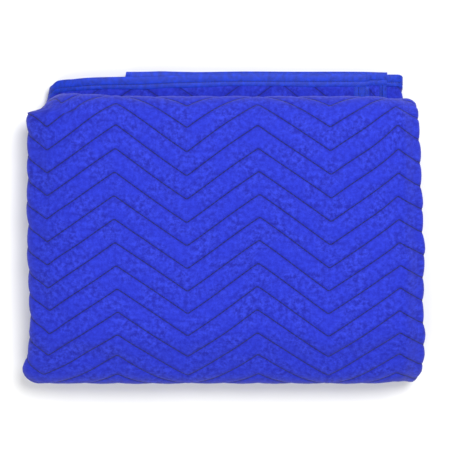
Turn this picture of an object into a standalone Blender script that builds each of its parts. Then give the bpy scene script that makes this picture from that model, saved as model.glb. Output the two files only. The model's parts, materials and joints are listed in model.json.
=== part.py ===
"""A quilted moving blanket, folded into a flat pack that lies on its back.

The blanket is one padded sheet with cloth tape over its four edges. It is cut and bound flat, halved
along its length, folded in four across its width, and then folded in three, with the first third
tucked inside. Flat places are (across the cut, along the cut, through the cloth), and fold() takes
them to the pack: X to the right, Y to the pack's top edge, Z up from the floor.
"""

import math

import bmesh
import bpy
from mathutils import Matrix, Vector

MM = 0.001
INCH = 0.0254

# The cut blanket
CUT_WIDTH = 72 * INCH
CUT_LENGTH = 80 * INCH
PAD = 3.1 * MM
PITCH = 3.8 * MM  # from one layer of the pack to the next
HALF_PAD = PAD / 2

# The tape over the edges
TAPE_WIDTH = 14.5 * MM
TAPE_THICK = 0.45 * MM
TAPE_GAP = 0.35 * MM
PRESSED = HALF_PAD - TAPE_THICK - TAPE_GAP  # half of the pad's thickness under the tape
PRESS_END = TAPE_WIDTH + 1.2 * MM  # where the pad is back at its full thickness

# The folds across the width: outer, face, second and inner panels
FACE_PANEL = 460 * MM
FOLD_SLIP = 15 * MM  # how far the first fold missed the middle
SIDE_FOLDS = 5 * math.pi * PITCH
SHORT_PANEL = (CUT_WIDTH - SIDE_FOLDS - 2 * FACE_PANEL) / 2
OUTER_PANEL = SHORT_PANEL - FOLD_SLIP
INNER_PANEL = SHORT_PANEL + FOLD_SLIP

# The folds along the length, of a bundle of eight layers
BUNDLE = 8 * PITCH
BACK_LEG = 343 * MM
FRONT_LEG = 290 * MM
BOTTOM_RADIUS = 5 * PITCH
BOTTOM_FLAT = 2 * BUNDLE - 2 * BOTTOM_RADIUS
TOP_RADIUS = BUNDLE / 2
TURNS = math.pi * (BOTTOM_RADIUS + TOP_RADIUS) + BOTTOM_FLAT
HALF_TURN = math.pi * PITCH / 2  # the fold that halves the length
INNER_LEG = (CUT_LENGTH - HALF_TURN) / 2 - BACK_LEG - FRONT_LEG - TURNS

# Where fewer layers lie under the top ones, those sink
EDGE_SHORT = INNER_PANEL + 1.5 * MM  # from the left folds' centre, past the last cut edge
SINK_RUN = 56 * MM  # how far it takes
RIGHT_SINK = 0.25
MIDDLE_SINK = 0.6
CORNER_RUN = 20 * MM  # how far down from the top fold the pack is drawn in

# The cut ends don't lie flush: the left ones are lower, and those behind stand out a little
END_SLIDE = 90 * MM  # the length of cloth that takes up the slide
LEFT_END_LOW = 9 * MM
LOW_ENDS = 60 * MM  # how far from the left folds' centre the ends are low; they level out in as much again
BEHIND_OUT = 3 * MM

# Places in the pack
LEFT = -FACE_PANEL / 2 + PITCH  # the left folds' centre
BOTTOM = BOTTOM_RADIUS + BUNDLE / 2  # where the legs start, with the pack's bottom edge at 0
TOP = BOTTOM + FRONT_LEG
TUCK_END = TOP - INNER_LEG
PACK_DEPTH = TOP + BUNDLE
FLOOR = PITCH / 2 - HALF_PAD

# The quilting: rows of zigzag stitching
ROW = 27.8 * MM
HALF_ZIGZAG = 84.8 * MM
ZIGZAG_RISE = 59 * MM
GROOVE_DEPTH = 1.1 * MM
GROOVE_HALF_WIDTH = 5.5 * MM
VALLEY_IN_FACE = 12.4 * MM  # from the left folds' centre to the first low corner
VALLEY_UP_FRONT = 62.2 * MM  # from the front leg's start up to that corner
SNAP = 0.9 * MM  # a cut this near to a point runs through it


def smooth(start, end, value):
    """0 before start, 1 after end, and an even curve between them."""
    t = min(max((value - start) / (end - start), 0), 1)
    return t * t * (3 - 2 * t)


class Route:
    """A line of straight runs and arcs in a plane, such as the section of folded cloth."""

    def __init__(self, start, heading, parts):
        """Each part is (name, length, turn, marks): turn is to the left, and marks are distances or a count."""
        self.parts = []
        self.at = {}
        self.length = 0
        point = Vector(start)
        for name, length, turn, marks in parts:
            self.parts.append((self.length, length, turn, point.copy(), heading, marks))
            self.at[name] = self.length
            point = self.step(point, heading, length, turn, length)
            heading += turn
            self.length += length

    @staticmethod
    def step(point, heading, length, turn, distance):
        """The place at a distance along one part."""
        if not turn:
            return point + distance * Vector((math.cos(heading), math.sin(heading)))
        radius = length / turn
        angle = heading + turn * distance / length
        arc = Vector((math.sin(angle) - math.sin(heading), math.cos(heading) - math.cos(angle)))
        return point + radius * arc

    def place(self, distance, offset):
        """The point at a distance along the route and an offset to its right."""
        found = self.parts[0]
        for part in self.parts:
            if part[0] <= distance:
                found = part
        start, length, turn, point, heading, _ = found
        inside = distance - start
        arc = min(inside, length) if turn else inside
        angle = heading + turn * arc / length
        point = self.step(point, heading, length, turn, arc)
        point += (inside - arc) * Vector((math.cos(angle), math.sin(angle)))
        return point + offset * Vector((math.sin(angle), -math.cos(angle)))

    def heads_right(self, distance):
        """Whether the route runs towards +X at a distance along it."""
        return self.place(distance + SNAP, 0).x > self.place(distance, 0).x

    def stations(self):
        """The distances at which a flat piece is cut so that it can bend."""
        found = []
        for start, length, turn, _, _, marks in self.parts:
            if turn:
                found += [start + length * k / marks for k in range(marks)]
            else:
                found += [start] + [start + mark for mark in marks if 0 < mark < length]
        return found + [self.length]


def across_marks(panel, rightward):
    """Bends of one panel, at the same places in the pack for every panel."""
    places = [LOW_ENDS, 2 * LOW_ENDS, OUTER_PANEL - PRESS_END, INNER_PANEL - PRESS_END, EDGE_SHORT]
    return [place if rightward else panel - place for place in places if place < panel]


def along_marks(start, upward):
    """Bends of one leg, at the same places in the pack for every leg."""
    places = [TUCK_END - SINK_RUN, TUCK_END - SINK_RUN / 2, TUCK_END, TOP - CORNER_RUN]
    return sorted((place - start) if upward else (start - place) for place in places)


HALF = math.pi
QUARTER = math.pi / 2

HALVING = Route(
    (0, PITCH / 2),
    0,
    [
        ("first", (CUT_LENGTH - HALF_TURN) / 2, 0, []),
        ("fold", HALF_TURN, -HALF, 3),
        ("second", (CUT_LENGTH - HALF_TURN) / 2, 0, []),
    ],
)
ACROSS = Route(
    (LEFT + OUTER_PANEL, 3 * PITCH),
    HALF,
    [
        ("outer", OUTER_PANEL, 0, across_marks(OUTER_PANEL, False)),
        ("wrap", HALF * 3 * PITCH, HALF, 4),
        ("face", FACE_PANEL, 0, across_marks(FACE_PANEL, True)),
        ("right_fold", HALF * PITCH, HALF, 3),
        ("second", FACE_PANEL, 0, across_marks(FACE_PANEL, False)),
        ("left_fold", HALF * PITCH, -HALF, 4),
        ("inner", INNER_PANEL, 0, across_marks(INNER_PANEL, True)),
    ],
)
ALONG = Route(
    (BOTTOM + BACK_LEG, BUNDLE / 2),
    HALF,
    [
        ("back", BACK_LEG, 0, along_marks(BOTTOM + BACK_LEG, False)),
        ("bottom_low", QUARTER * BOTTOM_RADIUS, -QUARTER, 3),
        ("bottom", BOTTOM_FLAT, 0, []),
        ("bottom_high", QUARTER * BOTTOM_RADIUS, -QUARTER, 3),
        ("front", FRONT_LEG, 0, along_marks(BOTTOM, True)),
        ("top", HALF * TOP_RADIUS, -HALF, 6),
        ("tucked", INNER_LEG, 0, along_marks(TOP, False)),
    ],
)

def end_slide(x, bundle_offset):
    """How far a cut end slid towards the pack's top edge."""
    low = LEFT_END_LOW * min(max(2 - (x - LEFT) / LOW_ENDS, 0), 1)
    return BEHIND_OUT * smooth(3 * PITCH, -PITCH, bundle_offset) - low


def squeeze(z, low, high, share):
    """How far a height sinks when a share of the space between two heights is lost."""
    return share * min(max(z - low, 0), high - low)


def settle(x, y, z):
    """The pack under its own weight: sunk over gaps, lower at its rim, and drawn in at its top corners."""
    left_edge = LEFT - BUNDLE / 2
    right_edge = LEFT + FACE_PANEL + BUNDLE / 4
    right = RIGHT_SINK * smooth(LEFT + EDGE_SHORT, LEFT + FACE_PANEL + PITCH, x)
    middle = MIDDLE_SINK * smooth(TUCK_END, TUCK_END - SINK_RUN, y)
    height = z - squeeze(z, BUNDLE / 2, BUNDLE, right) - squeeze(z, 1.5 * BUNDLE, 2.5 * BUNDLE, right)
    height -= squeeze(z, 9 * PITCH, 15 * PITCH, middle)
    rim = smooth(left_edge + 75 * MM, left_edge, x) + 0.5 * smooth(right_edge - 70 * MM, right_edge, x)
    rim += 0.3 * smooth(BOTTOM + 45 * MM, 0, y) + 0.3 * smooth(TOP - 50 * MM, TOP + BUNDLE, y)
    height *= 1 - 0.13 * rim
    near_top = smooth(TOP - CORNER_RUN, TOP + 15 * MM, y)
    behind = smooth(2 * BUNDLE, BUNDLE, z)
    left, right = smooth(left_edge + 75 * MM, left_edge, x), smooth(right_edge - 60 * MM, right_edge, x)
    y -= 4 * MM * near_top * left
    x += near_top * ((19 - 2 * behind) * left - (9 + 7 * behind) * right) * MM
    sides = 3 * smooth(left_edge + 40 * MM, left_edge, x) + 7 * smooth(right_edge - 40 * MM, right_edge, x)
    y += sides * MM * smooth(BOTTOM, 0, y)
    return Vector((x, y - PACK_DEPTH / 2, height))


def fold(across, along, through):
    """The place in the pack of a place in the flat, bound blanket."""
    run, pair_offset = HALVING.place(along, -through)
    x, bundle_offset = ACROSS.place(across, pair_offset)
    run -= end_slide(x, bundle_offset) * smooth(END_SLIDE, 0, run)
    y, z = ALONG.place(run, bundle_offset)
    return settle(x, y, z - FLOOR)


def cut_across(mesh, geometry, point, direction):
    """Cuts flat geometry along a line, and returns all of it."""
    cut = bmesh.ops.bisect_plane(
        mesh, geom=geometry, dist=SNAP, plane_co=(*point, 0), plane_no=(*direction, 0)
    )
    return cut["geom"]


def everything(mesh):
    return mesh.verts[:] + mesh.edges[:] + mesh.faces[:]


def split_quads(mesh):
    """Splits flat quads so that the diagonals of layers that lie on each other run the same way."""
    for face in [face for face in mesh.faces if len(face.verts) == 4]:
        centre = face.calc_center_median()
        rightward = ACROSS.heads_right(centre.x)
        lean = 1 if rightward == (centre.y < CUT_LENGTH / 2) else -1
        corners = sorted(face.verts, key=lambda corner: corner.co.x + lean * corner.co.y + corner.co.z / 9)
        order = [corners.index(corner) for corner in face.verts]
        if abs(order.index(0) - order.index(3)) == 2:
            bmesh.utils.face_split(face, corners[0], corners[3])
    bmesh.ops.triangulate(mesh, faces=mesh.faces[:])


def fold_object(obj):
    """Folds a flat object's mesh, and leaves it closed with its faces pointing out."""
    mesh = bmesh.new()
    mesh.from_mesh(obj.data)
    split_quads(mesh)
    for vertex in mesh.verts:
        vertex.co = fold(*vertex.co)
    if mesh.calc_volume(signed=True) < 0:
        bmesh.ops.reverse_faces(mesh, faces=mesh.faces[:])
    mesh.to_mesh(obj.data)
    mesh.free()
    obj.data.shade_smooth()
    obj.data.set_sharp_from_angle(angle=math.radians(40))


def new_object(name, data, collection, material):
    obj = bpy.data.objects.new(name, data)
    obj.data.materials.append(material)
    collection.objects.link(obj)
    return obj


def new_material(name, colour, roughness):
    material = bpy.data.materials.new(name)
    material.use_nodes = True
    shader = material.node_tree.nodes["Principled BSDF"]
    shader.inputs["Base Color"].default_value = (*colour, 1)
    shader.inputs["Roughness"].default_value = roughness
    shader.inputs["Metallic"].default_value = 0
    return material


# The quilted pad


def places_across():
    """Where the flat blanket is cut across, so that it can bend there."""
    rim = [TAPE_WIDTH, PRESS_END]
    return sorted(ACROSS.stations()[1:-1] + rim + [CUT_WIDTH - place for place in rim])


def places_along():
    """Where it is cut along its length: the same in both halves, which lie on each other."""
    rim = [TAPE_WIDTH, PRESS_END]
    half = [place for place in ALONG.stations() if place < HALVING.at["fold"] - MM]
    fold_places = [place for place in HALVING.stations() if 0 < place < CUT_LENGTH]
    half = half[1:] + rim
    return sorted(half + fold_places + [CUT_LENGTH - place for place in half])


def quilt_line(across):
    """How far the zigzag has risen above its low corners at a place across the cut."""
    low_corner = ACROSS.at["face"] + VALLEY_IN_FACE
    phase = abs(across - low_corner) % (2 * HALF_ZIGZAG)
    return ZIGZAG_RISE * (1 - abs(phase / HALF_ZIGZAG - 1))


def from_groove(across, along):
    """The distance along the cut from the nearest row of stitching."""
    start = ALONG.at["front"] + VALLEY_UP_FRONT
    rows = (along - quilt_line(across) - start) / ROW
    return abs(rows - round(rows)) * ROW


def is_outside(across, along):
    """Whether the upper face of the cloth shows there when the pack lies on the floor."""
    round_the_sides = ACROSS.at["wrap"] < across < ACROSS.at["second"]
    return round_the_sides and ALONG.at["bottom_low"] < along < ALONG.at["tucked"]


def cut_quilt_rows(mesh):
    """Cuts the faces that show along each row of stitching and along both edges of its groove."""
    corner = ACROSS.at["face"] + VALLEY_IN_FACE
    first = -math.ceil(corner / HALF_ZIGZAG)
    for column in range(first, first + math.ceil(CUT_WIDTH / HALF_ZIGZAG) + 1):
        start = corner + column * HALF_ZIGZAG
        cell = []
        for face in mesh.faces:
            centre = face.calc_center_median()
            if centre.z > PRESSED / 2 and is_outside(centre.x, centre.y):
                cell.append(face)
        geometry = cut_across(mesh, with_parts(cell), (start, 0), (1, 0))
    for column in range(first, first + math.ceil(CUT_WIDTH / HALF_ZIGZAG) + 1):
        start = corner + column * HALF_ZIGZAG
        geometry = with_parts(shown_faces(mesh, start, start + HALF_ZIGZAG))
        if not geometry:
            continue
        slope = (quilt_line(start + HALF_ZIGZAG) - quilt_line(start)) / HALF_ZIGZAG
        level = ALONG.at["front"] + VALLEY_UP_FRONT + quilt_line(start)
        rows = range(-math.ceil(level / ROW) - 3, math.ceil(ALONG.at["tucked"] / ROW) + 3)
        for row in rows:
            for edge in (-GROOVE_HALF_WIDTH, 0, GROOVE_HALF_WIDTH):
                point = (start, level + row * ROW + edge)
                geometry = cut_across(mesh, geometry, point, (-slope, 1))


def shown_faces(mesh, left, right):
    """The outer faces that show between two places across the cut."""
    found = []
    for face in mesh.faces:
        centre = face.calc_center_median()
        if left < centre.x < right and centre.z > PRESSED / 2 and is_outside(centre.x, centre.y):
            found.append(face)
    return found


def with_parts(faces):
    """Faces with their edges and points."""
    edges = {edge for face in faces for edge in face.edges}
    points = {point for face in faces for point in face.verts}
    return list(points) + list(edges) + list(faces)


def pad_half_thickness(across, along):
    """Half of the pad's thickness: less under the tape."""
    inward = min(across, CUT_WIDTH - across, along, CUT_LENGTH - along)
    share = min(max((inward - TAPE_WIDTH) / (PRESS_END - TAPE_WIDTH), 0), 1)
    return PRESSED + (HALF_PAD - PRESSED) * share


def make_pad(collection, material):
    """The shell and filler, quilted together: one sheet that is cut where it bends, shaped and folded."""
    mesh = bmesh.new()
    bmesh.ops.create_cube(mesh, size=1)
    bmesh.ops.scale(mesh, vec=(CUT_WIDTH, CUT_LENGTH, PAD), verts=mesh.verts)
    bmesh.ops.translate(mesh, vec=(CUT_WIDTH / 2, CUT_LENGTH / 2, 0), verts=mesh.verts)
    for place in places_across():
        cut_across(mesh, everything(mesh), (place, 0), (1, 0))
    for place in places_along():
        cut_across(mesh, everything(mesh), (0, place), (0, 1))
    cut_quilt_rows(mesh)
    for vertex in mesh.verts:
        across, along, through = vertex.co
        side = math.copysign(1, through)
        vertex.co.z = side * pad_half_thickness(across, along)
        bound = min(across, CUT_WIDTH - across, along) < PRESS_END
        if side > 0 and is_outside(across, along - MM) and not bound:
            groove = max(1 - from_groove(across, along) / GROOVE_HALF_WIDTH, 0)
            vertex.co.z -= GROOVE_DEPTH * groove
    data = bpy.data.meshes.new("quilted_pad")
    mesh.to_mesh(data)
    mesh.free()
    fold_object(new_object("quilted_pad", data, collection, material))


# The tape


def make_tape(name, collection, material, flat_place, stations):
    """A strip of cloth round one edge. flat_place(station, inward, through) gives a flat place."""
    over = -TAPE_GAP - TAPE_THICK
    inside = HALF_PAD - TAPE_THICK
    section = [(TAPE_WIDTH, HALF_PAD), (over, HALF_PAD), (over, -HALF_PAD), (TAPE_WIDTH, -HALF_PAD)]
    section += [(TAPE_WIDTH, -inside), (-TAPE_GAP, -inside), (-TAPE_GAP, inside), (TAPE_WIDTH, inside)]
    mesh = bmesh.new()
    rings = []
    for station in stations:
        rings.append([mesh.verts.new(flat_place(station, *point)) for point in section])
    for one, other in zip(rings, rings[1:]):
        for k in range(8):
            following = (k + 1) % 8
            mesh.faces.new((one[k], one[following], other[following], other[k]))
    for k in range(3):
        mesh.faces.new((rings[0][k + 1], rings[0][k], rings[0][7 - k], rings[0][6 - k]))
        mesh.faces.new((rings[-1][k], rings[-1][k + 1], rings[-1][6 - k], rings[-1][7 - k]))
    data = bpy.data.meshes.new(name)
    mesh.to_mesh(data)
    mesh.free()
    fold_object(new_object(name, data, collection, material))


def make_tapes(collection, material):
    """Tape round both cut ends, and between them round both long edges."""
    over = TAPE_GAP + TAPE_THICK
    across = [-over] + places_across() + [CUT_WIDTH + over]
    meet = TAPE_WIDTH + TAPE_GAP
    along = [meet] + [place for place in places_along() if meet < place < CUT_LENGTH - meet]
    along.append(CUT_LENGTH - meet)
    places = {
        "end_tape_outer": lambda at, inward, through: (at, inward, through),
        "end_tape_inner": lambda at, inward, through: (at, CUT_LENGTH - inward, through),
        "side_tape_outer": lambda at, inward, through: (inward, at, through),
        "side_tape_inner": lambda at, inward, through: (CUT_WIDTH - inward, at, through),
    }
    for name, flat_place in places.items():
        make_tape(name, collection, material, flat_place, across if "end" in name else along)


def centre(objects):
    """Moves the pack so that the origin is in the middle of its box, at the floor."""
    points = [vertex.co for obj in objects for vertex in obj.data.vertices]
    middle = [(min(p[k] for p in points) + max(p[k] for p in points)) / 2 for k in (0, 1)]
    for obj in objects:
        obj.data.transform(Matrix.Translation((-middle[0], -middle[1], 0)))


def main():
    for obj in list(bpy.data.objects):
        bpy.data.objects.remove(obj)
    blanket = bpy.data.collections.new("moving_blanket")
    bpy.context.scene.collection.children.link(blanket)
    make_pad(blanket, new_material("shell_blue", (0.05, 0.075, 0.62), 0.85))
    make_tapes(blanket, new_material("tape_blue", (0.03, 0.09, 0.68), 0.7))
    centre(blanket.objects)


main()
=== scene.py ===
"""A quilted moving blanket, folded into a flat pack: its cloth, tapes and stitching, and a plain studio."""

import json
import math

import bpy
import numpy as np
from bpy.props import FloatProperty, FloatVectorProperty, PointerProperty
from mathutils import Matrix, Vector

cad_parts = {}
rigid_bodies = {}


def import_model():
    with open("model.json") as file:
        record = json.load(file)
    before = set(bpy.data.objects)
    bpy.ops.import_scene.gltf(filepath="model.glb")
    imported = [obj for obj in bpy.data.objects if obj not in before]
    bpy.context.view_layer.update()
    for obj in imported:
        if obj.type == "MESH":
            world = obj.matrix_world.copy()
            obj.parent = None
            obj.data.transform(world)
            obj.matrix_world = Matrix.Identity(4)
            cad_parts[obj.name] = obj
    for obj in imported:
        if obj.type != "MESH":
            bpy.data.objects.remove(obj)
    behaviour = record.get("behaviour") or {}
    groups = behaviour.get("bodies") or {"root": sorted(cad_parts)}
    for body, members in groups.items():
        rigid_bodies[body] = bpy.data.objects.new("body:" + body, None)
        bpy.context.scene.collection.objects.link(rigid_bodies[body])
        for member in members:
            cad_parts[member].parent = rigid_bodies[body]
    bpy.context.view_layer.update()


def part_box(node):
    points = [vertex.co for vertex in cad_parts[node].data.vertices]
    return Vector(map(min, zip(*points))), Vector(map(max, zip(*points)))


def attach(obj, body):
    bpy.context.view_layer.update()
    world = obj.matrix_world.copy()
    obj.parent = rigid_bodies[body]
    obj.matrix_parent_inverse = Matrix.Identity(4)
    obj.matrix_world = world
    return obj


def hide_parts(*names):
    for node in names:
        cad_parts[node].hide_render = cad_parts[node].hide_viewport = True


bl_info = {
    "name": "Folded moving blanket",
    "version": (1, 0, 0),
    "blender": (4, 5, 0),
    "location": "3D View > Sidebar > Blanket",
    "description": "Builds a quilted moving blanket, folded into a flat pack, with its tapes and stitching",
    "category": "Object",
}

for left_over in list(bpy.data.objects):
    bpy.data.objects.remove(left_over)
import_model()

MM = 0.001
INCH = 0.0254
SHEET = "quilted_sheet"
TAPES = ("end_tape_outer", "end_tape_inner", "side_tape_outer", "side_tape_inner")
QUILTING = "quilting_thread"
BINDING = "binding_thread"
CLOTH_UV = "flat_place"
ROWS_UV = "quilting_rows"

LIGHTS = (
    # name, place, size, power
    ("key", (0.5, 1.0, 2.0), 1.0, 46),
    ("fill", (-0.6, -0.9, 2.1), 1.8, 20),
)
SKY_STRENGTH = 0.45
AIM = (0, 0.0095, 0.06)  # where the camera and the lights look
CAMERA_DISTANCE = 2.0
CAMERA_TILT = math.radians(9)
CAMERA_VIEW = math.radians(15.4)
SENSOR = 36  # width in mm
FLOOR_HALF = 4.0
FLOOR_DROP = 0.4 * MM  # below the pack, so that the two faces don't meet


def linear(hex_colour):
    """An sRGB hex value as linear red, green, blue and alpha."""
    channels = [int(hex_colour[k : k + 2], 16) / 255 for k in (1, 3, 5)]
    return tuple(c / 12.92 if c <= 0.04045 else ((c + 0.055) / 1.055) ** 2.4 for c in channels) + (1.0,)


def length_property(name, description, default):
    return FloatProperty(name=name, description=description, default=default, unit="LENGTH", precision=4)


def colour_property(name, description, hex_colour):
    return FloatVectorProperty(
        name=name, description=description, default=linear(hex_colour), size=4, min=0, max=1, subtype="COLOR"
    )


class BlanketSizes(bpy.types.PropertyGroup):
    """Sizes of the cut blanket and of its folds."""

    cut_width: length_property("Cut width", "Width of the open blanket", 72 * INCH)
    cut_length: length_property("Cut length", "Length of the open blanket", 80 * INCH)
    pad: length_property("Thickness", "Thickness of the quilted cloth", 3.1 * MM)
    pitch: length_property("Layer pitch", "From one layer of the pack to the next", 3.8 * MM)
    face_panel: length_property("Face panel", "Width of the panel that shows", 460 * MM)
    fold_slip: length_property("Fold slip", "How far the first fold missed the middle", 15 * MM)
    back_leg: length_property("Back leg", "Length of the leg on the floor", 343 * MM)
    front_leg: length_property("Front leg", "Length of the leg on top", 290 * MM)
    row: length_property("Row spacing", "From one row of quilting to the next, along the cut", 27.8 * MM)
    half_zigzag: length_property("Half zigzag", "From a low corner of the zigzag to a high one", 84.8 * MM)
    zigzag_rise: length_property("Zigzag rise", "How far the zigzag rises between them", 59 * MM)
    groove: length_property("Groove", "How far the stitching pulls the cloth in", 1.35 * MM)
    crown: length_property("Crown", "How far the cloth puffs up between two rows", 0.65 * MM)
    tape_width: length_property("Tape width", "Width of the binding on each face", 14.5 * MM)
    stitch: length_property("Quilting stitch", "Length of one stitch of the quilting", 5.6 * MM)
    tape_stitch: length_property("Binding stitch", "Length of one stitch of the binding", 3.6 * MM)


class BlanketColours(bpy.types.PropertyGroup):
    """Colours of the cloth, tape, thread and floor."""

    shell: colour_property("Shell", "Colour of the non-woven cloth", "#1628bd")
    # also the tint of the painted shade in the valleys beside the quilting
    shell_thick_and_valley_shade: colour_property("Shell, thick places", "Colour where its fibres lie thick", "#0a1698")
    shell_thin: colour_property("Shell, thin places", "Colour where they lie thin", "#293bcd")
    tape: colour_property("Tape", "Colour of the binding tape", "#0330b4")
    thread: colour_property("Quilting thread", "Colour of the quilting thread", "#15194f")
    tape_thread: colour_property("Binding thread", "Colour of the thread of the binding", "#0e1b6c")
    floor: colour_property("Floor", "Colour of the studio floor", "#f4f4f2")


# How the flat blanket lies in the pack


def smooth(start, end, value):
    """0 before start, 1 after end, and an even curve between them."""
    t = np.clip((value - start) / (end - start), 0, 1)
    return t * t * (3 - 2 * t)


class Route:
    """A line of straight runs and arcs in a plane: the section of folded cloth."""

    def __init__(self, start, heading, parts):
        """Each part is (name, length, turn), and a turn is to the left."""
        self.parts = []
        self.at = {}
        self.length = 0
        x, y = start
        for name, length, turn in parts:
            self.parts.append((self.length, length, turn, x, y, heading))
            self.at[name] = self.length
            step_x, step_y = self.step(heading, length, turn, length)
            x, y = x + step_x, y + step_y
            heading += turn
            self.length += length

    @staticmethod
    def step(heading, length, turn, inside):
        """How far one has come at a distance inside one part."""
        if not turn:
            return inside * math.cos(heading), inside * math.sin(heading)
        radius = length / turn
        angle = heading + turn * inside / length
        return radius * (np.sin(angle) - math.sin(heading)), radius * (math.cos(heading) - np.cos(angle))

    def place(self, distance, offset):
        """The points at distances along the route and offsets to its right."""
        distance, offset = np.broadcast_arrays(np.asarray(distance, float), np.asarray(offset, float))
        x, y = np.zeros(distance.shape), np.zeros(distance.shape)
        which = np.searchsorted([part[0] for part in self.parts], distance, side="right") - 1
        which = np.clip(which, 0, len(self.parts) - 1)
        for index, (start, length, turn, at_x, at_y, heading) in enumerate(self.parts):
            here = which == index
            inside = distance[here] - start
            angle = heading + turn * inside / length
            step_x, step_y = self.step(heading, length, turn, inside)
            x[here] = at_x + step_x + offset[here] * np.sin(angle)
            y[here] = at_y + step_y - offset[here] * np.cos(angle)
        return x, y


# How far each side of the pack is drawn in from its folds, at distances up from the bottom fold, in mm
LEFT_SIDE = (
    # up, front leg, back leg
    (0, -6, -6),
    (5, -7, -7),
    (10, -8, -8),
    (20, -8.5, -8.5),
    (27, -6, -6),
    (39, -1.5, -1.5),
    (76, 4.5, 4.5),
    (124, 3.2, 3.2),
    (173, 2, 2),
    (222, 2.4, 2.4),
    (295, 4.8, 4.8),
    (325, 4.5, 4.5),
    (328, 4.5, 20),
    (335, 4.5, 22.5),
    (336.5, 22.5, 22.5),
    (344, 24.5, 23),
    (350, 28, 24),
    (356, 34, 25),
    (368, 37, 27),
    (384, 38, 29),
)
RIGHT_SIDE = (
    (0, 4, 4),
    (5, 3, 3),
    (10, 1.5, 1.5),
    (16, 0, 0),
    (24, -2.5, -2.5),
    (39, -4, -4),
    (70, -1.5, -1.5),
    (100, 1, 1),
    (140, 0.5, 0.5),
    (173, 0, 0),
    (222, 3.4, 3.4),
    (295, 8, 8),
    (320, 10, 11),
    (334, 10.5, 19),
    (342, 10.5, 23.5),
    (350, 12, 24),
    (355, 15, 24),
    (362, 20, 24),
    (384, 23, 24),
)

# Soft troughs in the top of the pack where it was handled: ends from its middle, depth and half width, in mm
TROUGHS = (
    # from x, from y, to x, to y, depth, half width
    (-234, 120, -206, 24, 2.4, 12),
    (-206, 150, -150, 118, 2.0, 13),
    (-236, 6, -176, -40, 2.2, 13),
    (-232, -64, -186, -120, 2.4, 12),
    (-226, -128, -120, -158, 2.0, 13),
    (168, 160, 216, 92, 2.2, 12),
    (196, 60, 236, -20, 2.4, 13),
    (176, -40, 230, -84, 2.0, 13),
    (110, -152, 226, -126, 2.2, 13),
    (-60, 132, 40, 146, 1.2, 17),
    (-30, -120, 60, -136, 1.3, 17),
)

# How low the ends at the pack's top edge lie, at distances from the left folds' centre, in mm
LOW_ENDS = ((0, 29, 74, 106, 160, 190), (11, 10, 6.7, 4.5, 1, 0.4))
LOW_ENDS_BEHIND = ((0, 105, 107, 150, 200), (13, 11, -0.6, -2.6, -1))
END_STEP = (105 * MM, 107 * MM)  # where the ends behind step up

CORNER_TURN = 1.1 * MM  # to each side of a zigzag's corner the machine sews straight across
ZIGZAG_FULL = (124 * MM, 775 * MM)  # where the rows of points follow the zigzag all the way
ROW_POINTS = (0, 1.1, 3, 7.5, 13.9, 20.3, 24.8, 26.7)  # points from one row of quilting to the next, in mm


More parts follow.
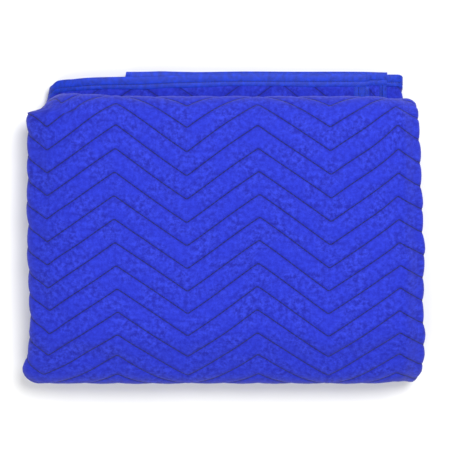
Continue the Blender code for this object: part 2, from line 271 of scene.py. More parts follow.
class Folding:
    """Where each place of the flat blanket lies in the pack, worked out from the blanket's sizes."""

    def __init__(self, sizes):
        self.sizes = sizes
        pitch = self.pitch = sizes.pitch
        self.half_pad = sizes.pad / 2
        self.bundle = bundle = 8 * pitch
        short = (sizes.cut_width - 5 * math.pi * pitch - 2 * sizes.face_panel) / 2
        self.outer_panel = short - sizes.fold_slip
        self.inner_panel = short + sizes.fold_slip
        self.edge_short = self.inner_panel + 1.5 * MM
        bottom_radius = 5 * pitch
        bottom_flat = 2 * bundle - 2 * bottom_radius
        turns = math.pi * (bottom_radius + bundle / 2) + bottom_flat
        half = (sizes.cut_length - math.pi * pitch / 2) / 2
        self.inner_leg = half - sizes.back_leg - sizes.front_leg - turns
        self.left = -sizes.face_panel / 2 + pitch
        self.bottom = bottom_radius + bundle / 2
        self.top = self.bottom + sizes.front_leg
        self.tuck_end = self.top - self.inner_leg
        self.left_edge = self.left - bundle / 2
        self.right_edge = self.left + sizes.face_panel + bundle / 4
        self.lowest_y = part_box("quilted_pad")[0].y
        quarter = math.pi / 2
        self.halving = Route(
            (0, pitch / 2),
            0,
            [("first", half, 0), ("fold", math.pi * pitch / 2, -math.pi), ("second", half, 0)],
        )
        self.across = Route(
            (self.left + self.outer_panel, 3 * pitch),
            math.pi,
            [
                ("outer", self.outer_panel, 0),
                ("wrap", 3 * math.pi * pitch, math.pi),
                ("face", sizes.face_panel, 0),
                ("right_fold", math.pi * pitch, math.pi),
                ("second", sizes.face_panel, 0),
                ("left_fold", math.pi * pitch, -math.pi),
                ("inner", self.inner_panel, 0),
            ],
        )
        self.along = Route(
            (self.bottom + sizes.back_leg, bundle / 2),
            math.pi,
            [
                ("back", sizes.back_leg, 0),
                ("bottom_low", quarter * bottom_radius, -quarter),
                ("bottom", bottom_flat, 0),
                ("bottom_high", quarter * bottom_radius, -quarter),
                ("front", sizes.front_leg, 0),
                ("top", math.pi * bundle / 2, -math.pi),
                ("tucked", self.inner_leg, 0),
            ],
        )

    # The quilting

    def sewn_knots(self):
        """Places along the route, and the cloth's length up to them on the outside of the pack's turns."""
        at, half = self.along.at, self.bundle / 2
        knots = [0, at["bottom_low"], at["bottom"], at["bottom_high"], at["front"], at["top"], at["tucked"]]
        low_turn = half / (5 * self.pitch)
        stretch = [0, low_turn, 0, low_turn, 0, 1]
        own = [0]
        for start, end, more in zip(knots, knots[1:], stretch):
            own.append(own[-1] + (end - start) * (1 + more))
        shift = own[4] - at["front"]
        knots.append(self.sizes.cut_length)
        own.append(own[-1] + knots[-1] - knots[-2])
        return np.array(knots), np.array(own) - shift

    def sewn_length(self, along):
        """The cloth's own length on the outside of the turns, level with the route on the front leg."""
        return np.interp(along, *self.sewn_knots())

    def from_sewn_length(self, length):
        knots, own = self.sewn_knots()
        return np.interp(length, own, knots)

    def quilt_line(self, across):
        """How far the zigzag has risen above its low corners."""
        half = self.sizes.half_zigzag
        phase = np.mod(np.abs(across - self.low_corner), 2 * half)
        phase = np.where(phase > half, 2 * half - phase, phase)
        return self.slope * np.clip(phase, CORNER_TURN, half - CORNER_TURN)

    @property
    def low_corner(self):
        """A low corner of the zigzag, across the cut."""
        return self.across.at["face"] + 11.6 * MM

    @property
    def first_row(self):
        """The low corners of one row of quilting, along the cut."""
        return self.along.at["front"] + 63.2 * MM

    @property
    def slope(self):
        """How far the zigzag rises for each metre across the cut."""
        return self.sizes.zigzag_rise / self.sizes.half_zigzag

    @property
    def row_half(self):
        """Half of the distance between two rows, square to them."""
        return self.sizes.row / 2 * math.cos(math.atan(self.slope))

    def from_rows(self, across, along):
        """The distance past the first row of quilting, square to it."""
        run = self.sewn_length(along) - self.quilt_line(across) - self.first_row
        return run * 2 * self.row_half / self.sizes.row

    def plain_half(self, across, along):
        """Half of the cloth's thickness without its quilting: less under the tape."""
        pressed = 0.75 * MM
        return pressed + (self.half_pad - pressed) * self.free(across, along)

    def free(self, across, along):
        """0 under the tape, 1 clear of it."""
        sizes = self.sizes
        inward = np.minimum(
            np.minimum(across, sizes.cut_width - across), np.minimum(along, sizes.cut_length - along)
        )
        return smooth(sizes.tape_width - 1 * MM, sizes.tape_width + 2.5 * MM, inward)

    def quilted_half(self, across, along):
        """Half of its thickness with the quilting: less in the grooves, a little more between them."""
        rows = self.from_rows(across, along) / (2 * self.row_half)
        apart = np.abs(rows - np.round(rows)) * 2 * self.row_half
        crisp = 1 - np.exp(-((apart / (1.7 * MM)) ** 2))
        broad = 1 - np.exp(-((apart / (5.5 * MM)) ** 2))
        relief = self.sizes.crown * broad - self.sizes.groove * (1 - 0.55 * crisp - 0.45 * broad)
        return self.plain_half(across, along) + relief * self.free(across, along)

    # The pack

    def end_slide(self, x, bundle_offset):
        """How far a cut end slid towards the pack's top edge: low at the left, and further out behind."""
        behind = smooth(3.1 * self.pitch, 2.4 * self.pitch, bundle_offset)
        deeper = 9 * MM * smooth(2.2 * self.pitch, -4 * self.pitch, bundle_offset)
        from_left = (x - self.left) / MM
        top_low = np.interp(from_left, *LOW_ENDS)
        behind_low = np.interp(from_left, *LOW_ENDS_BEHIND)
        low = ((1 - behind) * top_low + behind * behind_low) * MM
        drift = 0.5 * MM * np.sin(x / (47 * MM)) + 0.3 * MM * np.sin(x / (23 * MM) + 1)
        return 1.4 * MM + 0.8 * MM * behind - deeper - low + drift

    def squeeze(self, z, low, high, share):
        """How far a height sinks when a share of the space between two heights is lost."""
        return share * np.clip(z - low, 0, high - low)

    def settle(self, x, y, z):
        """The pack under its own weight: sunk over gaps, lower at its rim, drawn in at its corners."""
        bundle, left_edge, right_edge = self.bundle, self.left_edge, self.right_edge
        right_end = self.left + self.sizes.face_panel
        right = 0.25 * smooth(self.left + self.edge_short, right_end + self.pitch, x)
        middle = 0.6 * smooth(self.tuck_end, self.tuck_end - 56 * MM, y)
        height = z - self.squeeze(z, bundle / 2, bundle, right)
        height -= self.squeeze(z, 1.5 * bundle, 2.5 * bundle, right)
        height -= self.squeeze(z, 9 * self.pitch, 15 * self.pitch, middle)
        rim = smooth(left_edge + 75 * MM, left_edge, x) + 0.5 * smooth(right_edge - 70 * MM, right_edge, x)
        rim += 0.3 * smooth(self.bottom + 45 * MM, 0, y)
        rim += 0.3 * smooth(self.top - 50 * MM, self.top + bundle, y)
        rounded = 0.09 * smooth(left_edge + 36 * MM, left_edge, x)
        rounded = rounded + 0.06 * smooth(right_edge - 30 * MM, right_edge, x)
        height = height * (1 - 0.13 * rim - rounded)
        behind = smooth(2 * bundle, bundle, z)
        # How far the corners at the top fold, then at the bottom fold, move up the pack, in mm
        near_top = smooth(self.top - 6 * MM, self.top + 20 * MM, y)
        top_shift = 3 * smooth(left_edge + 150 * MM, left_edge + 50 * MM, x)
        top_shift = top_shift - 2 * smooth(left_edge + 30 * MM, left_edge, x)
        top_shift = top_shift - 5 * behind * smooth(left_edge + 14 * MM, left_edge, x)
        top_shift = top_shift - 4 * (1 - behind) * smooth(right_edge - 75 * MM, right_edge - 5 * MM, x)
        low_shift = 1.5 * smooth(right_edge - 70 * MM, right_edge - 12 * MM, x)
        low_shift = low_shift - 3.5 * smooth(right_edge - 20 * MM, right_edge, x)
        low_shift = low_shift - 2.2 * smooth(left_edge + 60 * MM, left_edge + 10 * MM, x)
        y_moved = y + MM * (near_top * top_shift + smooth(self.bottom, 0, y) * low_shift)
        x_moved = x + self.drawn_in(LEFT_SIDE, y, behind) * smooth(left_edge + 90 * MM, left_edge, x)
        x_moved = x_moved - self.drawn_in(RIGHT_SIDE, y, behind) * smooth(right_edge - 80 * MM, right_edge, x)
        return self.handled(x_moved, y_moved + self.lowest_y, height)

    @staticmethod
    def drawn_in(table, y, behind):
        """How far a side is drawn in at a place up the pack, read from its table."""
        up, front, back = (np.array(column) * MM for column in zip(*table))
        wide = 0.8 * MM
        total = 0
        for shift in (-wide, 0, wide):
            total = total + (1 - behind) * np.interp(y + shift, up, front)
            total = total + behind * np.interp(y + shift, up, back)
        return total / 3

    def handled(self, x, y, z):
        """The marks of handling: slow waves in the pack and a few soft troughs in its top."""
        share = z / (3 * self.bundle)
        waves = 1.5 * MM * np.sin(x / (71 * MM) + 0.6) * np.sin(y / (58 * MM) + 0.4)
        waves = waves + 0.8 * MM * np.sin(x / (33 * MM) - y / (47 * MM) + 1.1)
        waves = waves + 0.5 * MM * np.sin(x / (19 * MM) + y / (29 * MM))
        top = smooth(0.45, 0.8, share)
        sunk = 0
        for from_x, from_y, to_x, to_y, depth, half_width in TROUGHS:
            run_x, run_y = (to_x - from_x) * MM, (to_y - from_y) * MM
            size = math.hypot(run_x, run_y)
            off_x, off_y = x - from_x * MM, y - from_y * MM
            t = (off_x * run_x + off_y * run_y) / size**2
            apart = (off_y * run_x - off_x * run_y) / size
            fade = smooth(-0.1, 0.25, t) * smooth(1.1, 0.75, t)
            sunk = sunk + depth * MM * fade * np.exp(-((apart / (half_width * MM)) ** 2))
        side_wave = 1.1 * MM * np.sin(y / (24 * MM) + 2 * share) + 0.7 * MM * np.sin(y / (13 * MM) + 1)
        reach = smooth(150 * MM, 241 * MM, np.abs(x)) * smooth(0, 0.15, share)
        x = x - np.sign(x) * (np.abs(side_wave) * reach)
        inside = top * smooth(241 * MM, 190 * MM, np.abs(x))
        x = x + inside * 1.6 * MM * np.sin(y / (37 * MM) + 0.8) * np.sin(x / (64 * MM) + 0.5)
        y = y + inside * smooth(175 * MM, 120 * MM, np.abs(y)) * (
            1.7 * MM * np.sin(x / (43 * MM) + 0.4) * np.cos(y / (90 * MM))
            + 0.7 * MM * np.sin(x / (21 * MM) + y / (60 * MM))
        )
        return np.stack([x, y, np.maximum(z + share * waves - top * sunk, 0.0)], axis=-1)

    def place(self, across, along, through):
        """The places in the pack of places in the flat, bound blanket."""
        upper = along < self.sizes.cut_length / 2
        edge_slip = (7 + 6.5 * upper) * MM  # the side edge lies further in on the upper half
        shifted = across + edge_slip * smooth(150 * MM, 0, across)
        run, pair_offset = self.halving.place(along, -through)
        x, bundle_offset = self.across.place(shifted, pair_offset)
        run = run - self.end_slide(x, bundle_offset) * smooth(90 * MM, 0, run)
        y, z = self.along.place(run, bundle_offset)
        return self.settle(x, y, z - (self.pitch / 2 - self.half_pad))


# Meshes


def new_piece(name, points, faces, material, smooth_angle=None):
    """A mesh object that rides on the frame's one body."""
    mesh = bpy.data.meshes.new(name)
    mesh.from_pydata(points.tolist(), [], faces)
    mesh.update()
    mesh.materials.append(material)
    mesh.shade_smooth()
    if smooth_angle:
        mesh.set_sharp_from_angle(angle=smooth_angle)
    piece = bpy.data.objects.new(name, mesh)
    bpy.context.scene.collection.objects.link(piece)
    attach(piece, "root")
    return piece


def lay_map(piece, name, places):
    """Gives a piece a UV map from the flat place of each of its points."""
    layer = piece.data.uv_layers.new(name=name)
    corners = np.empty(len(piece.data.loops), dtype=np.int32)
    piece.data.loops.foreach_get("vertex_index", corners)
    layer.data.foreach_set("uv", places[corners].astype(np.float32).ravel())


def signed_volume(points, faces):
    """Six times the volume inside closed faces, negative when they point inwards."""
    total = 0.0
    for face in faces:
        first = points[face[0]]
        for second, third in zip(face[1:-1], face[2:]):
            total += np.dot(first, np.cross(points[second], points[third]))
    return total


def quad_faces(ids, turned):
    """Quads of a grid of point numbers."""
    one, two, three, four = ids[:-1, :-1], ids[1:, :-1], ids[1:, 1:], ids[:-1, 1:]
    order = (one, two, three, four) if turned else (one, four, three, two)
    return np.stack([corner.ravel() for corner in order], axis=-1)


def zip_rims(fine, fine_at, coarse, coarse_at):
    """Triangles between two rows of points with different spacing, from their numbers and places."""
    faces = []
    i = j = 0
    while i < len(fine) - 1 or j < len(coarse) - 1:
        next_fine = fine_at[i + 1] if i < len(fine) - 1 else math.inf
        next_coarse = coarse_at[j + 1] if j < len(coarse) - 1 else math.inf
        if next_fine <= next_coarse:
            faces.append((fine[i], fine[i + 1], coarse[j]))
            i += 1
        else:
            faces.append((fine[i], coarse[j + 1], coarse[j]))
            j += 1
    return [tuple(int(k) for k in face) for face in faces]


def spread(start, end, spacing):
    """Even places from start up to but not at end."""
    count = max(round((end - start) / spacing), 1)
    return [start + (end - start) * k / count for k in range(count)]


def route_places(route, spacings):
    """Places along a route, from a spacing for each part by name."""
    found = []
    for (name, start), part in zip(route.at.items(), route.parts):
        found += spread(start, start + part[1], spacings[name])
    return found + [route.length]


def sheet_columns(folding, fine):
    """Places across the cut: its folds, the zigzag's corners and the step in its ends, and even between."""
    route, sizes = folding.across, folding.sizes
    if fine:
        spacings = dict(outer=7.2, wrap=3.4, face=5.6, right_fold=1.6, second=21, left_fold=1.6, inner=21)
    else:
        spacings = dict(outer=17, wrap=4.5, face=14.2, right_fold=2.4, second=28, left_fold=2.4, inner=28)
    edges = list(route.at.values()) + [route.length]
    knots = []
    for k in range(-6, 12):
        corner = folding.low_corner + k * sizes.half_zigzag
        shown = fine and corner < route.at["second"]
        knots += [corner - CORNER_TURN, corner + CORNER_TURN] if shown else [corner]
    for step in END_STEP:
        knots += [folding.outer_panel - step, route.at["face"] + step]
        knots += [route.at["second"] + sizes.face_panel - step, route.at["inner"] + step]
    knots = [at for at in knots if 0 < at < route.length and min(abs(at - edge) for edge in edges) > MM]
    knots = sorted(edges + knots)
    places = []
    for start, end in zip(knots, knots[1:]):
        part = [name for name, at in route.at.items() if at <= start][-1]
        places += spread(start, end, spacings[part] * MM)
    return places + [route.length]


def sheet_rows(folding, fine):
    """Places along the cut, before the zigzag is added: close where the cloth shows."""
    sizes = folding.sizes
    fold_start = folding.halving.at["fold"]
    fold_places = spread(fold_start, fold_start + math.pi * folding.pitch / 2, 1.2 * MM)
    if not fine:
        spacings = dict(back=18, bottom_low=4, bottom=5, bottom_high=4, front=18, top=4.5, tucked=18)
        first = route_places(folding.along, {name: spacing * MM for name, spacing in spacings.items()})[:-1]
        first = [place for place in first if place < fold_start - MM]
        second = [sizes.cut_length - place for place in reversed(first)]
        return first + fold_places + second
    step = sizes.row
    row_base = folding.first_row + sizes.zigzag_rise / 2
    start, end = folding.sewn_length(ZIGZAG_FULL[0] + MM), folding.sewn_length(ZIGZAG_FULL[1])
    rows = []
    index = math.ceil((start - row_base) / step)
    while row_base + index * step < end:
        rows += [row_base + index * step + part * MM for part in ROW_POINTS]
        index += 1
    rows = folding.from_sewn_length(np.array(rows)).tolist()
    first = spread(0, 55 * MM, 2.6 * MM) + spread(55 * MM, rows[0], 7 * MM) + rows
    first += spread(rows[-1] + 1 * MM, fold_start, 16 * MM)
    end_start = sizes.cut_length - 60 * MM
    back = spread(fold_start + math.pi * folding.pitch / 2, end_start, 19 * MM)
    second_end = [sizes.cut_length - place for place in reversed(spread(0, 60 * MM, 5 * MM))]
    tail = [end_start] + [place for place in second_end if place > end_start + 1 * MM]
    return first + fold_places + refine_turns(folding, back) + tail


def refine_turns(folding, places):
    """Adds places round the turns of the pack to the half of the cloth that lies inside."""
    found = set(places)
    total = folding.sizes.cut_length
    for name, count in (("bottom_low", 6), ("bottom_high", 6), ("top", 10)):
        start = folding.along.at[name]
        length = dict(zip(folding.along.at, folding.along.parts))[name][1]
        found = {place for place in found if not start - 6 * MM < total - place < start + length + 6 * MM}
        found |= {total - start - length * k / count for k in range(count + 1)}
    return sorted(found)


def zigzag_share(place):
    """How far a row of points follows the zigzag: only where the quilting shows."""
    return smooth(58 * MM, ZIGZAG_FULL[0], place) * smooth(950 * MM, ZIGZAG_FULL[1] + 10 * MM, place)


def build_sheet(folding, material):
    """The quilted cloth as one closed sheet: a fine face outside, a plain face inside and a rim."""
    points, faces, flats, sewn, grids = [], [], [], [], []
    count = 0
    for side in (1, -1):
        columns = np.array(sheet_columns(folding, side > 0))
        rows = np.array(sheet_rows(folding, side > 0))
        across, base = np.meshgrid(columns, rows)
        along = base
        if side > 0:
            bend = folding.quilt_line(across) - folding.sizes.zigzag_rise / 2
            along = folding.from_sewn_length(folding.sewn_length(base) + zigzag_share(base) * bend)
        half = folding.plain_half(across, along)
        if side > 0:
            shown = np.maximum(zigzag_share(along), smooth(60 * MM, 50 * MM, along))
            half = half + (folding.quilted_half(across, along) - half) * shown
        places = folding.place(across, along, side * half)
        ids = count + np.arange(across.size).reshape(across.shape)
        points.append(places.reshape(-1, 3))
        flats.append(np.stack([across.ravel(), folding.sewn_length(along).ravel()], axis=-1))
        sewn.append(np.stack([across.ravel(), folding.from_rows(across, along).ravel()], axis=-1))
        faces += quad_faces(ids, side > 0).tolist()
        grids.append((ids, columns, rows))
        count += across.size
    (upper, columns, rows), (lower, low_columns, low_rows) = grids
    edges = [
        (upper[0], columns, lower[0], low_columns, False),
        (upper[-1], columns, lower[-1], low_columns, True),
        (upper[:, 0], rows, lower[:, 0], low_rows, True),
        (upper[:, -1], rows, lower[:, -1], low_rows, False),
    ]
    for fine, fine_at, coarse, coarse_at, turned in edges:
        for face in zip_rims(fine, fine_at, coarse, coarse_at):
            faces.append(tuple(reversed(face)) if turned else face)
    points = np.concatenate(points)
    if signed_volume(points, faces) < 0:
        faces = [tuple(reversed(face)) for face in faces]
    sheet = new_piece(SHEET, points, faces, material)
    lay_map(sheet, CLOTH_UV, np.concatenate(flats))
    lay_map(sheet, ROWS_UV, np.concatenate(sewn))
    return sheet


# Tapes

SEWN_IN = 5.6 * MM  # from a tape's inner edge to its row of stitches
INNER_POINTS = 7  # how many of the section's points, the last ones, face the cloth


def tape_section(folding):
    """The tape's section as (inward, through) round the outside and back round the inside."""
    reach = folding.sizes.tape_width
    outside, inside = 1.72 * MM, 1.2 * MM
    sewn = reach - SEWN_IN
    face = [(reach, -0.2 * MM), (reach - 0.5 * MM, 0), (sewn + 1.6 * MM, 0), (sewn + 0.6 * MM, -0.2 * MM)]
    face += [(sewn, -0.4 * MM), (sewn - 0.6 * MM, -0.2 * MM), (sewn - 1.6 * MM, 0), (4 * MM, 0)]
    nose = []
    for k in range(7):
        angle = math.pi / 2 - math.pi * k / 6
        nose.append((0.2 * MM - 1.0 * MM * math.cos(angle), outside * math.sin(angle)))
    ring = [(inward, outside + sunk) for inward, sunk in face] + nose
    ring += [(inward, -outside - sunk) for inward, sunk in reversed(face)]
    ring += [(reach, -inside), (8 * MM, -inside), (0.4 * MM, -inside)]
    ring += [(-0.3 * MM, 0), (0.4 * MM, inside), (8 * MM, inside), (reach, inside)]
    return ring


def tape_places(folding, name, at, inward):
    """The flat places (across, along) of a tape, from the distance along it and in from its edge."""
    sizes = folding.sizes
    if name == "end_tape_outer":
        return at, inward
    if name == "end_tape_inner":
        return at, sizes.cut_length - inward
    if name == "side_tape_outer":
        return inward, at
    return sizes.cut_width - inward, at


def build_tape(folding, name, material):
    """One binding tape: a folded strip swept along its edge of the cloth, a little uneven."""
    sizes = folding.sizes
    if "end" in name:
        stations = np.array([-0.8 * MM] + sheet_columns(folding, True)[1:-1] + [sizes.cut_width + 0.8 * MM])
    else:
        meet = sizes.tape_width + 0.35 * MM
        rows = [row for row in sheet_rows(folding, True) if meet + MM < row < sizes.cut_length - meet - MM]
        stations = np.array([meet] + rows + [sizes.cut_length - meet])
    section = np.array(tape_section(folding))
    at, inward = np.meshgrid(stations, section[:, 0], indexing="ij")
    through = np.broadcast_to(section[:, 1], at.shape)
    drift = 0.45 * MM * np.sin(at / (31 * MM)) + 0.3 * MM * np.sin(at / (11 * MM) + 1)
    inward = inward + drift * smooth(9 * MM, sizes.tape_width, inward)
    across, along = tape_places(folding, name, at, inward)
    points = folding.place(across, along, through).reshape(-1, 3)
    rings, size = at.shape
    ids = np.arange(rings * size).reshape(rings, size)
    closed = np.concatenate([ids, ids[:, :1]], axis=1)
    faces = quad_faces(closed, True).tolist()
    for ring, turned in ((ids[0], False), (ids[-1], True)):
        corners = ring.tolist()
        outer, inner = corners[:-INNER_POINTS], corners[-INNER_POINTS:][::-1]
        caps = zip_rims(outer, np.linspace(0, 1, len(outer)), inner, np.linspace(0, 1, len(inner)))
        faces += [tuple(reversed(cap)) if turned else cap for cap in caps]
    if signed_volume(points, faces) < 0:
        faces = [tuple(reversed(face)) for face in faces]
    tape = new_piece(f"{name}_woven", points, faces, material, math.radians(50))
    lengths = np.concatenate([[0], np.cumsum(np.hypot(*np.diff(section, axis=0).T))])
    lay_map(tape, CLOTH_UV, np.stack([at.ravel(), np.broadcast_to(lengths, at.shape).ravel()], axis=-1))
    return tape


# Stitching


def stitches(folding, starts, ends, lift, half_width):
    """Points and faces of stitches, each a small spindle from one flat place to another."""
    points, faces, places = [], [], []
    for share in (0.0, 0.22, 0.78, 1.0):
        flat = starts + (ends - starts) * share
        sink = 0.25 * MM if share in (0.0, 1.0) else 0.0
        places.append(folding.place(flat[:, 0], flat[:, 1], lift(flat) - sink))
    above = folding.place(starts[:, 0], starts[:, 1], lift(starts) + 1 * MM)
    out = above - folding.place(starts[:, 0], starts[:, 1], lift(starts))
    out /= np.linalg.norm(out, axis=1, keepdims=True)
    run = places[3] - places[0]
    run /= np.linalg.norm(run, axis=1, keepdims=True)
    aside = np.cross(run, out)
    for k in range(len(starts)):
        base = len(points)
        points.append(places[0][k])
        for place in (places[1][k], places[2][k]):
            for turn_aside, turn_out in ((1, 0), (0, 0.8), (-1, 0), (0, -0.8)):
                points.append(place + half_width * (turn_aside * aside[k] + turn_out * out[k]))
        points.append(places[3][k])
        for side in range(4):
            following = (side + 1) % 4
            faces.append((base, base + 1 + following, base + 1 + side))
            faces.append((base + 1 + side, base + 1 + following, base + 5 + following, base + 5 + side))
            faces.append((base + 9, base + 5 + side, base + 5 + following))
    for point in points:
        point[2] = max(point[2], 0.0)  # under the pack, none pokes through the floor
    return points, faces


def quilting_stitches(folding):
    """Flat starts and ends of the quilting's stitches, where the quilting shows."""
    sizes = folding.sizes
    step = sizes.stitch * math.cos(math.atan(folding.slope))
    areas = (
        # from and to across the cut, from and to along it: the pack's outside, then its end at the top edge
        (folding.across.at["wrap"] - 12 * MM, folding.across.at["second"], 66 * MM, 772 * MM),
        (sizes.tape_width + 2 * MM, folding.across.at["wrap"] - 12 * MM, sizes.tape_width + 2 * MM, 56 * MM),
    )
    starts, ends = [], []
    for left, right, low, high in areas:
        for row in range(-40, 40):
            at = np.arange(left, right, step)
            level = folding.first_row + row * sizes.row
            start, end = (
                np.stack([x, folding.from_sewn_length(level + folding.quilt_line(x))], axis=-1)
                for x in (at, at + 0.74 * step)
            )
            inside = end[:, 0] < sizes.cut_width - sizes.tape_width
            for along in (start[:, 1], end[:, 1]):
                inside &= (along > low) & (along < high)
            starts.append(start[inside])
            ends.append(end[inside])
    return np.concatenate(starts), np.concatenate(ends)


def tape_stitches(folding, name):
    """Flat starts and ends of one tape's stitches: one row, a third of the way in from its inner edge."""
    sizes = folding.sizes
    total = sizes.cut_width if "end" in name else sizes.cut_length
    at = np.arange(sizes.tape_width, total - sizes.tape_width, sizes.tape_stitch)
    inward = np.full(at.shape, sizes.tape_width - SEWN_IN)
    one = tape_places(folding, name, at, inward)
    other = tape_places(folding, name, at + 0.72 * sizes.tape_stitch, inward)
    return np.stack(one, axis=-1), np.stack(other, axis=-1)


# Materials


def add_node(tree, kind, inputs=None, **settings):
    """Adds a node with its settings; each input is a value, a socket, or a node whose result goes in."""
    node = tree.nodes.new(kind)
    for name, value in settings.items():
        setattr(node, name, value)
    for name, given in (inputs or {}).items():
        if isinstance(given, bpy.types.Node):
            given = next(socket for socket in given.outputs if socket.enabled)
        if isinstance(given, bpy.types.NodeSocket):
            tree.links.new(given, node.inputs[name])
        else:
            node.inputs[name].default_value = given
    return node


def new_material(name):
    """A material with no nodes, and its node tree."""
    material = bpy.data.materials.new(name)
    material.use_nodes = True
    material.node_tree.nodes.clear()
    return material, material.node_tree


def shade(colour, by):
    """A colour made darker or lighter."""
    return tuple(min(by * channel, 1.0) for channel in colour[:3]) + (1.0,)


def shell_material(folding, colours):
    """Non-woven polypropylene, laid as fibres and bonded by heat.

    It gives the eye a matt, felt-like blue that is cloudy where the fibres lie thick or thin, with a fine
    grid of bond points and puckers along the quilting. Along the stitches runs a dark line of thread colour,
    partly the thread and partly painted shade of the groove they pull in, and to each side painted shade
    darkens the valley.
    """
    material, tree = new_material("polypropylene_nonwoven_shell")
    flat = add_node(tree, "ShaderNodeUVMap", uv_map=CLOTH_UV)
    rows = add_node(tree, "ShaderNodeUVMap", uv_map=ROWS_UV)
    from_rows = add_node(tree, "ShaderNodeSeparateXYZ", {0: rows}).outputs[1]
    apart = add_node(tree, "ShaderNodeMath", {0: from_rows, 1: folding.row_half}, operation="PINGPONG")
    # What lies at the stitches: their line to 0.85 mm on each side (thread colour, partly painted groove
    # shade), the valley to 4 mm (painted shade), the puckers to 9 mm
    near = []
    for start, end in ((0.2, 0.85), (0.4, 4.2), (0.5, 9.0)):
        reach = {"Value": apart, "From Min": start * MM, "From Max": end * MM, "To Min": 1.0, "To Max": 0.0}
        near.append(add_node(tree, "ShaderNodeMapRange", reach, interpolation_type="SMOOTHSTEP"))
    seam_line_and_groove_shade, painted_valley_shade, gathered = near
    # Clouds of fibre some 5 mm across, wider ones of 30 mm, and tufts of 2 mm, coarser than the real
    # single fibres so that they show
    noises = []
    for size, detail, roughness in ((5.5, 4.0, 0.68), (30, 2.0, 0.5), (2.0, 2.0, 0.7)):
        values = {"Vector": flat, "Scale": 1 / (size * MM), "Detail": detail, "Roughness": roughness}
        noises.append(add_node(tree, "ShaderNodeTexNoise", values))
    clouds, wide_clouds, tufts = noises
    # Puckers some 6 mm apart along the stitches, drawn out square to them
    drawn_out = add_node(tree, "ShaderNodeVectorMath", {0: rows, 1: (1.0, 0.3, 1.0)}, operation="MULTIPLY")
    waves = add_node(tree, "ShaderNodeTexNoise", {"Vector": drawn_out, "Scale": 1 / (6 * MM), "Detail": 1.0})
    puckers = add_node(tree, "ShaderNodeMath", {0: waves, 1: gathered}, operation="MULTIPLY")
    # Bond points 1.7 mm apart
    bonded = add_node(
        tree, "ShaderNodeTexVoronoi", {"Vector": flat, "Scale": 1 / (1.7 * MM), "Randomness": 0.1}
    )
    cloudy = add_node(tree, "ShaderNodeMapRange", {"Value": clouds, "From Min": 0.39, "From Max": 0.62})
    wide = add_node(tree, "ShaderNodeMapRange", {"Value": wide_clouds, "From Min": 0.38, "From Max": 0.62})
    tufted = add_node(tree, "ShaderNodeMapRange", {"Value": tufts, "From Min": 0.45, "From Max": 0.7})
    colour = add_node(
        tree,
        "ShaderNodeMix",
        {"A": colours.shell_thick_and_valley_shade, "B": colours.shell_thin, "Factor": cloudy},
        data_type="RGBA",
    )
    layers = (
        # tint, where, how much
        (colours.shell, wide, 0.55),
        (colours.shell_thick_and_valley_shade, tufted, 0.3),
        # painted shade: the valley beside the stitches darkened towards the thick-fibre colour
        (colours.shell_thick_and_valley_shade, painted_valley_shade, 0.45),
        # the seam line in thread colour: partly the thread, partly painted shade of the groove
        (colours.thread, seam_line_and_groove_shade, 0.65),
    )
    for tint, where, most in layers:
        share = add_node(tree, "ShaderNodeMath", {0: where, 1: most}, operation="MULTIPLY")
        colour = add_node(tree, "ShaderNodeMix", {"A": colour, "B": tint, "Factor": share}, data_type="RGBA")
    relief = 0.0
    for source, height in ((seam_line_and_groove_shade, -0.5), (tufts, 0.16), (clouds, 0.3), (bonded, -0.06), (puckers, 1.0)):
        values = {0: source, 1: height, 2: relief}
        relief = add_node(tree, "ShaderNodeMath", values, operation="MULTIPLY_ADD")
    bump = add_node(tree, "ShaderNodeBump", {"Strength": 0.85, "Distance": 1 * MM, "Height": relief})
    roughness = add_node(tree, "ShaderNodeMapRange", {"Value": clouds, "To Min": 0.72, "To Max": 0.92})
    values = {"Base Color": colour, "Roughness": roughness, "Normal": bump}
    values |= {"IOR": 1.49, "Sheen Weight": 0.1, "Sheen Roughness": 0.45, "Specular IOR Level": 0.35}
    shader = add_node(tree, "ShaderNodeBsdfPrincipled", values)
    add_node(tree, "ShaderNodeOutputMaterial", {"Surface": shader})
    return material


def tape_material(colours):
    """Woven polypropylene binding tape, pressed flat.

    It gives the eye a deeper, even blue with a small square weave and a low, silky gloss along the yarns.
    """
    material, tree = new_material("polypropylene_woven_tape")
    flat = add_node(tree, "ShaderNodeUVMap", uv_map=CLOTH_UV)
    uneven = add_node(tree, "ShaderNodeTexNoise", {"Vector": flat, "Scale": 1 / (6 * MM), "Detail": 3.0})
    # Yarns 1.1 mm apart, drawn a little coarser than the real 0.9 mm so that they show
    parts = add_node(tree, "ShaderNodeSeparateXYZ", {0: flat})
    yarns = []
    for place in parts.outputs[:2]:
        turned = add_node(tree, "ShaderNodeMath", {0: place, 1: math.pi / (1.1 * MM)}, operation="MULTIPLY")
        yarns.append(add_node(tree, "ShaderNodeMath", {0: turned}, operation="SINE"))
    weave = add_node(tree, "ShaderNodeMath", {0: yarns[0], 1: yarns[1]}, operation="MULTIPLY")
    tone = add_node(tree, "ShaderNodeMath", {0: weave, 1: 0.12, 2: uneven}, operation="MULTIPLY_ADD")
    tone = add_node(tree, "ShaderNodeMapRange", {"Value": tone, "From Min": 0.25, "From Max": 0.75})
    ends = {"A": shade(colours.tape, 0.6), "B": shade(colours.tape, 1.4), "Factor": tone}
    colour = add_node(tree, "ShaderNodeMix", ends, data_type="RGBA")
    height = add_node(tree, "ShaderNodeMath", {0: weave, 1: 0.25, 2: uneven}, operation="MULTIPLY_ADD")
    bump = add_node(tree, "ShaderNodeBump", {"Strength": 0.35, "Distance": 1 * MM, "Height": height})
    values = {"Base Color": colour, "Normal": bump, "Roughness": 0.55, "IOR": 1.49}
    values |= {"Sheen Weight": 0.05, "Sheen Roughness": 0.35, "Specular IOR Level": 0.35}
    shader = add_node(tree, "ShaderNodeBsdfPrincipled", values)
    add_node(tree, "ShaderNodeOutputMaterial", {"Surface": shader})
    return material


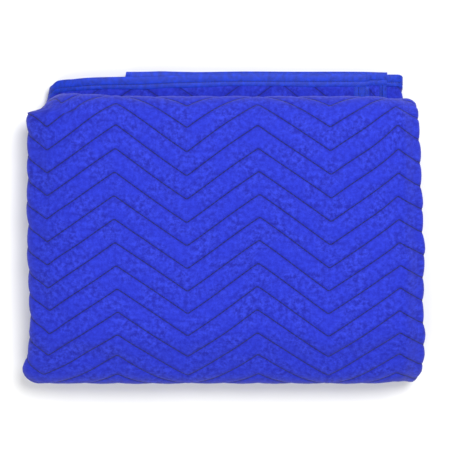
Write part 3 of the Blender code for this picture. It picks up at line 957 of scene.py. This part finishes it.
def thread_material(name, colour):
    """Spun polyester thread, twisted.

    It gives the eye dark, soft lines of single stitches, with a faint gloss on top.
    """
    material, tree = new_material(name)
    place = add_node(tree, "ShaderNodeTexCoord").outputs["Object"]
    plies = add_node(tree, "ShaderNodeTexNoise", {"Vector": place, "Scale": 1 / (0.6 * MM), "Detail": 1.0})
    ends = {"A": shade(colour, 0.6), "B": shade(colour, 1.5), "Factor": plies}
    mixed = add_node(tree, "ShaderNodeMix", ends, data_type="RGBA")
    bump = add_node(tree, "ShaderNodeBump", {"Strength": 0.5, "Distance": 0.2 * MM, "Height": plies})
    values = {"Base Color": mixed, "Normal": bump, "Roughness": 0.6, "IOR": 1.5}
    shader = add_node(tree, "ShaderNodeBsdfPrincipled", values)
    add_node(tree, "ShaderNodeOutputMaterial", {"Surface": shader})
    return material


def floor_material(colours):
    """Matt painted board.

    It gives the eye an even, pale floor with a faint grain.
    """
    material, tree = new_material("painted_board_floor")
    place = add_node(tree, "ShaderNodeTexCoord").outputs["Object"]
    grain = add_node(tree, "ShaderNodeTexNoise", {"Vector": place, "Scale": 1 / (60 * MM), "Detail": 2.0})
    ends = {"A": shade(colours.floor, 0.97), "B": colours.floor, "Factor": grain}
    colour = add_node(tree, "ShaderNodeMix", ends, data_type="RGBA")
    values = {"Base Color": colour, "Roughness": 0.9, "Specular IOR Level": 0.2}
    shader = add_node(tree, "ShaderNodeBsdfPrincipled", values)
    add_node(tree, "ShaderNodeOutputMaterial", {"Surface": shader})
    return material


# Operators


def blanket_of(context):
    return Folding(context.scene.blanket_sizes), context.scene.blanket_colours


class BLANKET_OT_cloth(bpy.types.Operator):
    """Build the quilted cloth, folded into its pack"""

    bl_idname = "blanket.cloth"
    bl_label = "Quilted cloth"

    def execute(self, context):
        folding, colours = blanket_of(context)
        sheet = build_sheet(folding, shell_material(folding, colours))
        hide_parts("quilted_pad")
        return {"FINISHED"}


class BLANKET_OT_tapes(bpy.types.Operator):
    """Build the binding tapes on the four edges of the cloth"""

    bl_idname = "blanket.tapes"
    bl_label = "Binding tapes"

    def execute(self, context):
        folding, colours = blanket_of(context)
        material = tape_material(colours)
        for name in TAPES:
            tape = build_tape(folding, name, material)
            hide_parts(name)
        return {"FINISHED"}


class BLANKET_OT_stitching(bpy.types.Operator):
    """Sew the quilting and the binding, stitch by stitch"""

    bl_idname = "blanket.stitching"
    bl_label = "Stitching"

    def execute(self, context):
        folding, colours = blanket_of(context)
        starts, ends = quilting_stitches(folding)
        points, faces = stitches(
            folding,
            starts,
            ends,
            lift=lambda flat: folding.quilted_half(flat[:, 0], flat[:, 1]) + 0.1 * MM,
            half_width=0.42 * MM,
        )
        material = thread_material("polyester_quilting_thread", tuple(colours.thread))
        new_piece(QUILTING, np.array(points), faces, material)
        points, faces = [], []
        for name in TAPES:
            starts, ends = tape_stitches(folding, name)
            more, more_faces = stitches(
                folding,
                starts,
                ends,
                lift=lambda flat: np.full(len(flat), 1.55 * MM),
                half_width=0.4 * MM,
            )
            faces += [tuple(corner + len(points) for corner in face) for face in more_faces]
            points += more
        material = thread_material("polyester_binding_thread", tuple(colours.tape_thread))
        new_piece(BINDING, np.array(points), faces, material)
        return {"FINISHED"}


class BLANKET_OT_stage(bpy.types.Operator):
    """Lay the floor, hang the lights and set up the camera and the sky"""

    bl_idname = "blanket.stage"
    bl_label = "Studio"

    def execute(self, context):
        scene = context.scene
        turns = ((-1, -1), (1, -1), (1, 1), (-1, 1))
        corners = [(x * FLOOR_HALF, y * FLOOR_HALF, -FLOOR_DROP) for x, y in turns]
        mesh = bpy.data.meshes.new("studio_floor")
        mesh.from_pydata(corners, [], [(0, 1, 2, 3)])
        mesh.materials.append(floor_material(scene.blanket_colours))
        floor = bpy.data.objects.new("studio_floor", mesh)
        scene.collection.objects.link(floor)
        middle = Vector(AIM)
        for name, place, size, power in LIGHTS:
            light = bpy.data.lights.new(name, "AREA")
            light.shape = "DISK"
            light.size = size
            light.energy = power
            lamp = bpy.data.objects.new(name, light)
            lamp.location = place
            lamp.rotation_euler = (middle - Vector(place)).to_track_quat("-Z", "Y").to_euler()
            scene.collection.objects.link(lamp)
        world = bpy.data.worlds.new("studio_sky")
        world.use_nodes = True
        sky = world.node_tree.nodes["Background"].inputs
        sky["Color"].default_value = linear("#ffffff")
        sky["Strength"].default_value = SKY_STRENGTH
        scene.world = world
        scene.view_settings.view_transform = "Standard"
        camera_data = bpy.data.cameras.new("photograph_angle")
        camera_data.sensor_width = SENSOR
        camera_data.lens = SENSOR / (2 * math.tan(CAMERA_VIEW / 2))
        camera = bpy.data.objects.new("photograph_angle", camera_data)
        away = Vector((0, math.sin(CAMERA_TILT), math.cos(CAMERA_TILT)))
        camera.location = middle + CAMERA_DISTANCE * away
        camera.rotation_euler = (-CAMERA_TILT, 0, 0)
        scene.collection.objects.link(camera)
        scene.camera = camera
        return {"FINISHED"}


class BLANKET_PT_panel(bpy.types.Panel):
    """The blanket's pieces, sizes and colours"""

    bl_idname = "BLANKET_PT_panel"
    bl_label = "Moving blanket"
    bl_space_type = "VIEW_3D"
    bl_region_type = "UI"
    bl_category = "Blanket"

    def draw(self, context):
        for operator in OPERATORS:
            self.layout.operator(operator.bl_idname)
        for group in (context.scene.blanket_sizes, context.scene.blanket_colours):
            column = self.layout.column()
            for name in group.bl_rna.properties.keys():
                if name not in ("rna_type", "name"):
                    column.prop(group, name)


OPERATORS = (BLANKET_OT_cloth, BLANKET_OT_tapes, BLANKET_OT_stitching, BLANKET_OT_stage)
CLASSES = (BlanketSizes, BlanketColours) + OPERATORS + (BLANKET_PT_panel,)


def register():
    for cls in CLASSES:
        bpy.utils.register_class(cls)
    bpy.types.Scene.blanket_sizes = PointerProperty(type=BlanketSizes)
    bpy.types.Scene.blanket_colours = PointerProperty(type=BlanketColours)


def unregister():
    del bpy.types.Scene.blanket_colours
    del bpy.types.Scene.blanket_sizes
    for cls in reversed(CLASSES):
        bpy.utils.unregister_class(cls)


def main():
    register()
    bpy.ops.blanket.cloth()
    bpy.ops.blanket.tapes()
    bpy.ops.blanket.stitching()
    bpy.ops.blanket.stage()


if __name__ == "__main__":
    main()
